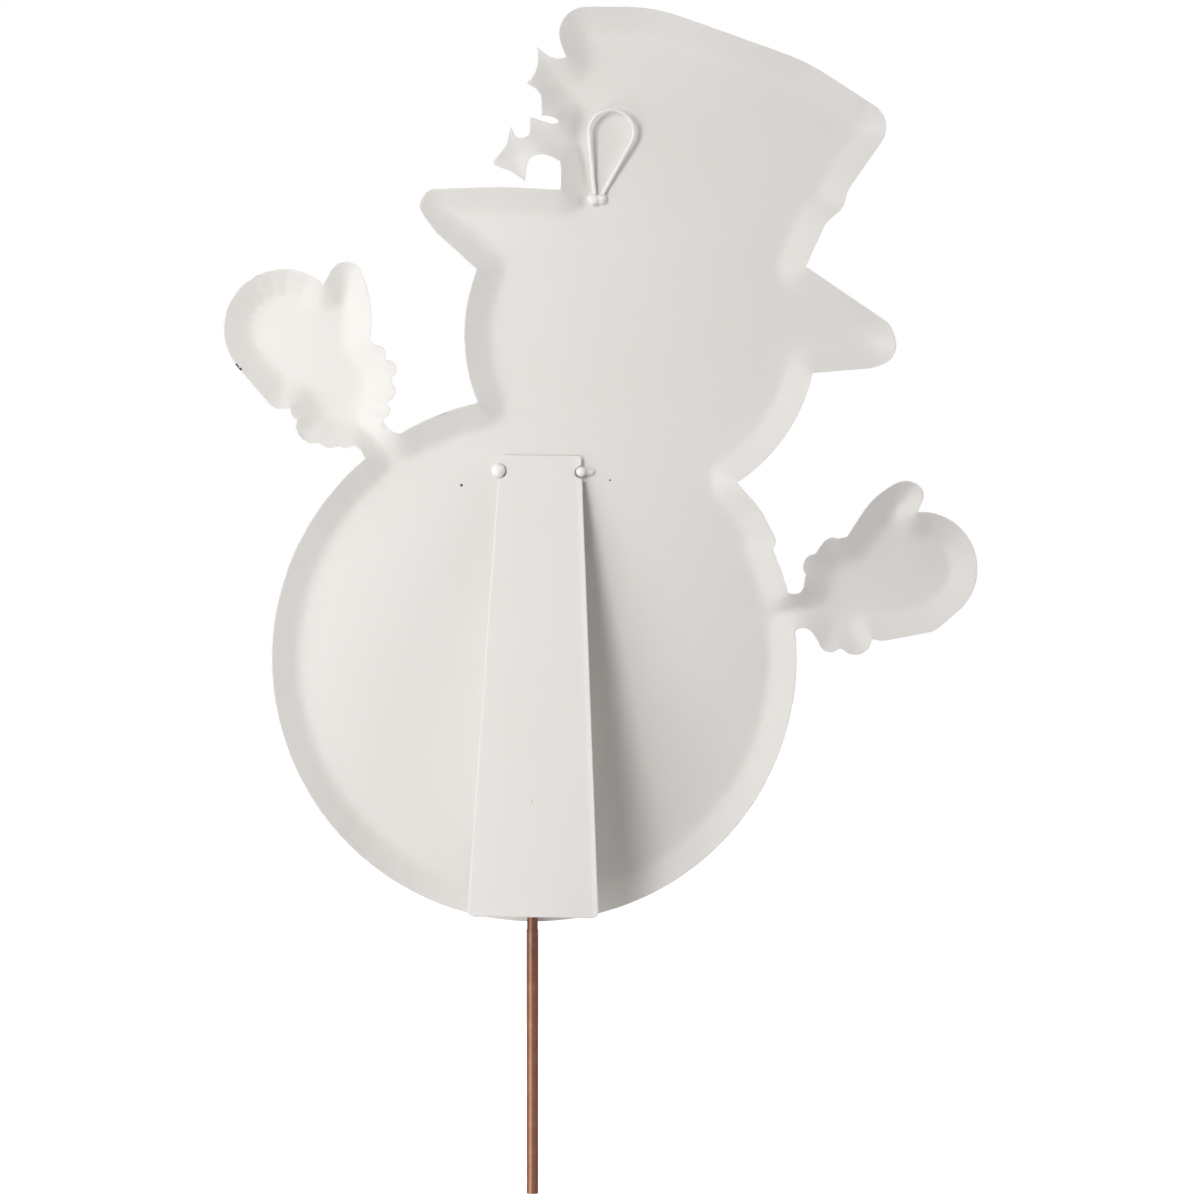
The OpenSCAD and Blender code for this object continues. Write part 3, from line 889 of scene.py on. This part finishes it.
def pressed_distance(pts, d, loop):
    """Distance from the edge as the press tool feels it: little in the narrow parts."""
    start, aim = rays(divided(loop, TOOL_STEP))
    p = start + aim * TOOL_RADIUS
    p = p[inside(p, loop) & (distance(p, loop) > TOOL_RADIUS - TOOL_SLACK)]
    reach = kdtree.KDTree(len(p))
    for i, q in enumerate(p):
        reach.insert((q[0], q[1], 0), i)
    reach.balance()
    out = d.copy()
    for i in np.nonzero(d < TOOL_RADIUS)[0]:
        gap = reach.find((pts[i][0], pts[i][1], 0))[2]
        out[i] = 0.5 * (d[i] + max(0.0, TOOL_RADIUS - gap))
    return out


def two_sided(back, front, tris, front_which=None):
    """Vertices, faces and materials of a closed sheet from its two faces."""
    n = len(back)
    faces = [(c, b, a) for a, b, c in tris.tolist()]
    faces += [(a + n, b + n, c + n) for a, b, c in tris.tolist()]
    rim = rim_edges(tris)
    faces += [(b + n, a + n, a, b) for a, b in rim]
    which = [0] * len(tris) + list(front_which if front_which is not None else [0] * len(tris))
    return np.concatenate([back, front]), faces, which + [0] * len(rim)


def figure_sheet(back_paint):
    """The pressed sheet: dished enamelled back and painted front."""
    loop = smooth_loop(rear_outline("figure_shell"), OUTLINE_STEP)
    low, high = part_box("figure_shell")
    rear, depth = high.y, high.y - low.y - SHEET
    art = [(name, shape * MM) for name, shape in front_art()]
    pts, tris = fill(loop, RINGS, GRID_STEP, [divided(shape, ART_STEP) for _, shape in art])
    d = distance(pts, loop)
    h = rear - depth * rim_profile(pressed_distance(pts, d, loop))
    h = softened(h, pts, tris, SMOOTHING_PASSES)
    edge = EDGE_ROUND * np.clip(1 - d / (RINGS[1] * MM), 0, 1)
    back = np.stack([pts[:, 0], h - edge, pts[:, 1]], axis=1)
    front = np.stack([pts[:, 0], h - SHEET + edge, pts[:, 1]], axis=1)
    paints = front_paints()
    order = list(paints)
    mid = pts[tris].mean(axis=1)
    which = np.full(len(tris), 1 + order.index("snow"))
    for name, shape in art:
        which[inside(mid, shape)] = 1 + order.index(name)
    verts, faces, slots = two_sided(back, front, tris, which)
    obj = make_object("pressed_sheet", verts, faces, [back_paint, *paints.values()], slots)
    smooth_normals(obj, h, d, pts, tris)
    rim = obj.data.attributes.new("rim", "FLOAT", "POINT")
    rim.data.foreach_set("value", np.concatenate([d, d]).astype(np.float32))
    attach(obj, "figure")
    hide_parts("figure_shell")


# ---- easel leg ----

def leg_place():
    """The leg's hinge point, its directions (across, up, out) and its sizes, from the CAD leg."""
    joint = next(j for j in frame["record"]["behaviour"]["joints"] if j["name"] == "leg_hinge")
    pos = np.array(joint["pos_m"])
    across = np.array(joint["axis"]) / np.linalg.norm(joint["axis"])
    pts, _ = merged("easel_leg")
    rel = pts - pos
    down = np.array([0, 0, -1.0])
    down -= (down @ across) * across
    down /= np.linalg.norm(down)
    out = np.cross(across, down)
    s, y, x = rel @ down, rel @ out, rel @ across
    foot = s > s.max() - FOOT_BAND
    foot &= np.abs(x) < np.abs(x[foot]).min() + SAME_PLACE
    outer = rel[foot][np.argmax(y[foot])]
    inner = rel[foot][np.argmin(y[foot])]
    gap = outer - inner
    gap -= (gap @ across) * across
    out = gap / np.linalg.norm(gap)
    down = np.cross(out, across)
    s, x = rel @ down, rel @ across
    top = s < s.min() + TOP_BAND
    return {"pos": pos, "across": across, "up": -down, "out": out, "top": -s.min(),
            "foot": -s.max(), "top_w": np.abs(x[top]).max(), "foot_w": np.abs(x).max(),
            "face": float(outer @ out)}


def arc(mid, r, start, turn, n):
    """Points along part of a circle."""
    angles = [start + turn * k / n for k in range(n + 1)]
    return [mid + r * np.array([math.cos(a), math.sin(a)]) for a in angles]


def rounded_corner(a, p, b, r, n):
    """The arc of radius r that rounds the corner a, p, b, in n steps."""
    a, p, b = (np.array(v, float) for v in (a, p, b))
    u, v = (a - p) / np.linalg.norm(a - p), (b - p) / np.linalg.norm(b - p)
    half = math.acos(float(u @ v)) / 2
    mid = p + (u + v) / np.linalg.norm(u + v) * r / math.sin(half)
    s, e = p + u * r / math.tan(half) - mid, p + v * r / math.tan(half) - mid
    start = math.atan2(s[1], s[0])
    turn = (math.atan2(e[1], e[0]) - start + 3 * math.pi) % (2 * math.pi) - math.pi
    return arc(mid, r, start, turn, n)


def notch(c, r, low, high):
    """The arc that a round notch cuts into the edge from low to high, running upward on the +X side."""
    way = (high - low) / np.linalg.norm(high - low)
    t = float((c - low) @ way)
    off = np.linalg.norm(c - low - t * way)
    half = math.sqrt(r * r - off * off)
    ends = [low + (t - half) * way, low + (t + half) * way]
    if low[0] < 0:
        ends.reverse()
    s, e = ends[0] - c, ends[1] - c
    start = math.atan2(s[1], s[0])
    turn = (math.atan2(e[1], e[0]) - start) % (2 * math.pi)
    deepest = arc(c, r, start, turn, 2)[1]
    if abs(deepest[0]) > abs(c[0]):
        turn -= 2 * math.pi
    return arc(c, r, start, turn, NOTCH_STEPS)


def leg_loop(leg, notches):
    """The leg's outline, anticlockwise, with a round notch in each long edge."""
    tw, fw, top, foot = leg["top_w"], leg["foot_w"], leg["top"], leg["foot"]
    box = [(-fw, foot), (fw, foot), (tw, top), (-tw, top)]
    corners = [rounded_corner(box[i - 1], box[i], box[(i + 1) % 4], r * MM, n)
               for i, (r, n) in enumerate(LEG_CORNERS)]
    loop = corners[0] + corners[1]
    for side, rest in ((1, corners[2] + corners[3]), (-1, [])):
        c, r = notches[side]
        loop += notch(c, r, np.array([side * fw, foot]), np.array([side * tw, top])) + rest
    return np.array(loop)


def curl(x):
    """A knuckle rolled from the sheet round the hinge wire: points (across, out, up) and faces."""
    verts, faces, n = [], [], KNUCKLE_STEPS
    for k in range(n + 1):
        a = math.radians(KNUCKLE_START + KNUCKLE_SWEEP * k / n)
        for end in (x - KNUCKLE_W / 2, x + KNUCKLE_W / 2):
            for r in (KNUCKLE_BORE, KNUCKLE_BORE + KNUCKLE_SHEET):
                verts.append((end, r * math.sin(a), r * math.cos(a)))
    for k in range(n):
        i, j = 4 * k, 4 * k + 4
        faces += [(i, i + 1, j + 1, j), (i + 1, i + 3, j + 3, j + 1), (i + 3, i + 2, j + 2, j + 3),
                  (i + 2, i, j, j + 2)]
    faces += [(0, 2, 3, 1), (4 * n, 4 * n + 1, 4 * n + 3, 4 * n + 2)]
    return verts, faces


def leg_level(leg, pts):
    """How far out the leg's outer face is: lips at one side and the foot, and a bend at the top."""
    slope = (leg["foot_w"] - leg["top_w"]) / (leg["top"] - leg["foot"])
    edge_x = leg["foot_w"] - slope * (pts[:, 1] - leg["foot"])
    lip = np.clip(1 - (pts[:, 0] + edge_x) / LEG_LIP_W, 0, 1)
    q = leg["face"] + LEG_LIP_RISE * (1 - np.cos(math.pi * lip)) / 2
    foot_lip = np.clip(1 - (pts[:, 1] - leg["foot"]) / LEG_LIP_W, 0, 1)
    q += FOOT_LIP_SHARE * LEG_LIP_RISE * foot_lip**2
    q += np.clip(pts[:, 1] + BEND_START, 0, 1) * BEND_SLOPE
    return q


def easel_leg(leg_paint):
    """The leg: its tapered sheet and the two knuckles that hold it on the hinge wire."""
    leg = leg_place()
    fine = smooth_loop(leg_loop(leg, leg_notches(leg)), LEG_STEP)
    pts, tris = fill(fine, LEG_RINGS, LEG_GRID)
    q = leg_level(leg, pts)
    edge = LEG_EDGE_ROUND * np.clip(1 - distance(pts, fine) / LEG_EDGE_REACH, 0, 1)
    faces_at = []
    for level in (q - edge, q - LEG_SHEET + edge):
        faces_at.append(leg["pos"] + pts[:, :1] * leg["across"] + pts[:, 1:] * leg["up"]
                        + level[:, None] * leg["out"])
    verts, faces, _ = two_sided(faces_at[0], faces_at[1], tris)
    for x in KNUCKLES:
        points, quads = curl(x)
        place = [leg["pos"] + a * leg["across"] + o * leg["out"] + u * leg["up"]
                 for a, o, u in points]
        faces += [tuple(len(verts) + i for i in f) for f in quads]
        verts = np.concatenate([verts, place])
    obj = make_object("easel_leg_sheet", verts, faces, [leg_paint])
    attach(obj, "leg")
    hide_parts("easel_leg")


# ---- solder ----

def lobed(way, lobes):
    """How far a lump of run-together balls (offset, radius) reaches from its middle."""
    total = 0.0
    for offset, radius in lobes:
        along = Vector(offset).dot(way)
        hit = along + math.sqrt(along**2 - Vector(offset).length_squared + radius**2)
        total += math.exp(hit / SOLDER_BLEND)
    return SOLDER_BLEND * math.log(total / len(lobes) ** 0.5)


def settled(p, middle, floor):
    """The point held at the sheet, and spread a little where it is low."""
    low = max(0.0, 1 - (p.y - floor) / FLARE_HEIGHT)
    p.y = max(p.y, floor - SOLDER_SINK)
    flat = Vector((p.x - middle[0], 0, p.z - middle[2]))
    return p + flat * FLARE * min(1.0, low)


def solder(name, node, middle, lobes, floor, paint_of, lump, seed):
    """A lump of solder on the back: lobes are (offset, radius) balls that all hold its middle."""
    verts, rows, cols = [], SOLDER_ROWS, SOLDER_COLS
    for i in range(rows + 1):
        polar = math.pi * i / rows
        for j in range(cols):
            a = 2 * math.pi * j / cols
            way = Vector((math.sin(polar) * math.cos(a), math.cos(polar), math.sin(polar) * math.sin(a)))
            uneven = 1 + lump * noise.noise(way * SOLDER_GRAIN + Vector((seed, 0, 0)))
            p = Vector(middle) + way * (lobed(way, lobes) * uneven)
            verts.append(settled(p, middle, floor))
    faces = [(i * cols + j, i * cols + (j + 1) % cols, (i + 1) * cols + (j + 1) % cols, (i + 1) * cols + j)
             for i in range(rows) for j in range(cols)]
    obj = make_object(name, verts, faces, [paint_of])
    tidy(obj)
    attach(obj, "figure")
    if node:
        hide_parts(node)


def tidy(obj):
    """Merges points at one place and turns the faces outward."""
    bm = bmesh.new()
    bm.from_mesh(obj.data)
    bmesh.ops.remove_doubles(bm, verts=bm.verts, dist=MERGE)
    bmesh.ops.recalc_face_normals(bm, faces=bm.faces)
    bm.to_mesh(obj.data)
    bm.free()


# ---- scene ----

def area_light(name, at, aim, size, power):
    """A white disk lamp at one point, aimed at another."""
    data = bpy.data.lights.new(name, "AREA")
    data.shape = "DISK"
    data.size = size
    data.energy = power
    obj = bpy.data.objects.new(name, data)
    obj.location = at
    obj.rotation_euler = (Vector(aim) - Vector(at)).to_track_quat("-Z", "Y").to_euler()
    bpy.context.scene.collection.objects.link(obj)


def white_world():
    """Dim white light from all round, behind a picture that is plain white."""
    world = bpy.data.worlds.new("studio")
    bpy.context.scene.world = world
    world.use_nodes = True
    nt = world.node_tree
    fill_light = nt.nodes["Background"]
    fill_light.inputs["Color"].default_value = WHITE
    fill_light.inputs["Strength"].default_value = FILL
    seen = nt.nodes.new("ShaderNodeBackground")
    seen.inputs["Color"].default_value = WHITE
    seen.inputs["Strength"].default_value = 1.0
    path = nt.nodes.new("ShaderNodeLightPath")
    both = nt.nodes.new("ShaderNodeMixShader")
    nt.links.new(path.outputs["Is Camera Ray"], both.inputs["Fac"])
    nt.links.new(fill_light.outputs[0], both.inputs[1])
    nt.links.new(seen.outputs[0], both.inputs[2])
    nt.links.new(both.outputs[0], nt.nodes["World Output"].inputs["Surface"])


def studio(low, high):
    """The white world, the lamps and a pale floor under the stake."""
    mid = (low + high) / 2
    white_world()
    for name, side, power, size in LAMPS:
        area_light(name, mid + Vector(side), mid, size, power)
    mat, _, bsdf = tree("pale_floor")
    bsdf.inputs["Base Color"].default_value = FLOOR_COLOUR
    bsdf.inputs["Roughness"].default_value = FLOOR_ROUGH
    bsdf.inputs["Emission Color"].default_value = WHITE
    bsdf.inputs["Emission Strength"].default_value = FLOOR_GLOW
    r = FLOOR_HALF
    floor = make_object("floor", [(-r, -r, low.z), (r, -r, low.z), (r, r, low.z), (-r, r, low.z)],
                        [(0, 1, 2, 3)], [mat])
    floor.visible_diffuse = False
    floor.visible_glossy = False


def camera(low, high):
    """Square on to the back from a few metres away, as in the photo."""
    mid = (low + high) / 2
    width = (high.z - low.z) / FIGURE_SHARE
    data = bpy.data.cameras.new("camera")
    data.sensor_width = SENSOR
    data.lens = SENSOR * CAMERA_AWAY / width
    obj = bpy.data.objects.new("camera", data)
    dx, dy, dz = CAMERA_SHIFT
    obj.location = (mid.x + dx, CAMERA_AWAY + dy, mid.z + dz)
    obj.rotation_euler = (math.pi / 2, 0, math.pi)
    bpy.context.scene.collection.objects.link(obj)
    bpy.context.scene.camera = obj


def box_middle(node):
    low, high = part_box(node)
    return (low + high) / 2


def mark(x, z, spot):
    """A spot in metres from one in millimetres off the point (x, z)."""
    return x + spot[0] * MM, z + spot[1] * MM, spot[2] * MM


def leg_notches(leg):
    """Middle and radius of the notch on each side of the leg, in the leg's plane."""
    up, across = Vector(leg["up"]), Vector(leg["across"])
    notches = {}
    for side, node, reach in NOTCHES:
        rel = box_middle(node) - Vector(leg["pos"])
        notches[side] = (np.array([rel.dot(across), rel.dot(up) - NOTCH_DROP]), reach + NOTCH_GAP)
    return notches


def solder_lumps(floor_y, solder_paint, tail_paint):
    for name, node, by, (across, off, up), lobes, lump, seed in LUMPS:
        at = box_middle(by)
        middle = (at.x + across * MM, floor_y + off * MM, at.z + up * MM)
        sized = [([c * MM for c in offset], radius * MM) for offset, radius in lobes]
        solder(name, node, middle, sized, floor_y, solder_paint if node else tail_paint, lump, seed)


def main():
    low, high = (Vector(v) for v in cad_bounds)
    figure_low, figure_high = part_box("figure_shell")
    left, right = box_middle("hinge_weld_left"), box_middle("hinge_weld_right")
    chips = [mark(figure_high.x, 0, spot) for spot in MITTEN_CHIPS]
    chips += [mark(left.x, left.z, LEFT_CHIP), mark(right.x, right.z, RIGHT_CHIP)]
    back_paint = enamel("enamel_back", SHEET_COLOUR, chips)
    leg_paint = enamel("enamel_leg", SHEET_COLOUR, stains=[mark(left.x, left.z, LEG_STAIN)])
    wire_paint = enamel("enamel_wire", WIRE_COLOUR)
    solder_paint = enamel("enamel_solder", SOLDER_COLOUR)
    brown = stake_paint()
    figure_sheet(back_paint)
    easel_leg(leg_paint)
    solder_lumps(figure_low.y + SHEET, solder_paint, back_paint)
    for node, mat in (("hanging_loop", wire_paint), ("hinge_pin", wire_paint),
                      ("stake_socket", back_paint), ("socket_strap_lower", back_paint),
                      ("socket_strap_upper", back_paint), ("socket_spot_welds", wire_paint),
                      ("stake", brown)):
        mesh = frame["nodes"][node].data
        mesh.materials.clear()
        mesh.materials.append(mat)
    studio(low, high)
    camera(low, high)
    bpy.context.scene.view_settings.view_transform = "Standard"


main()
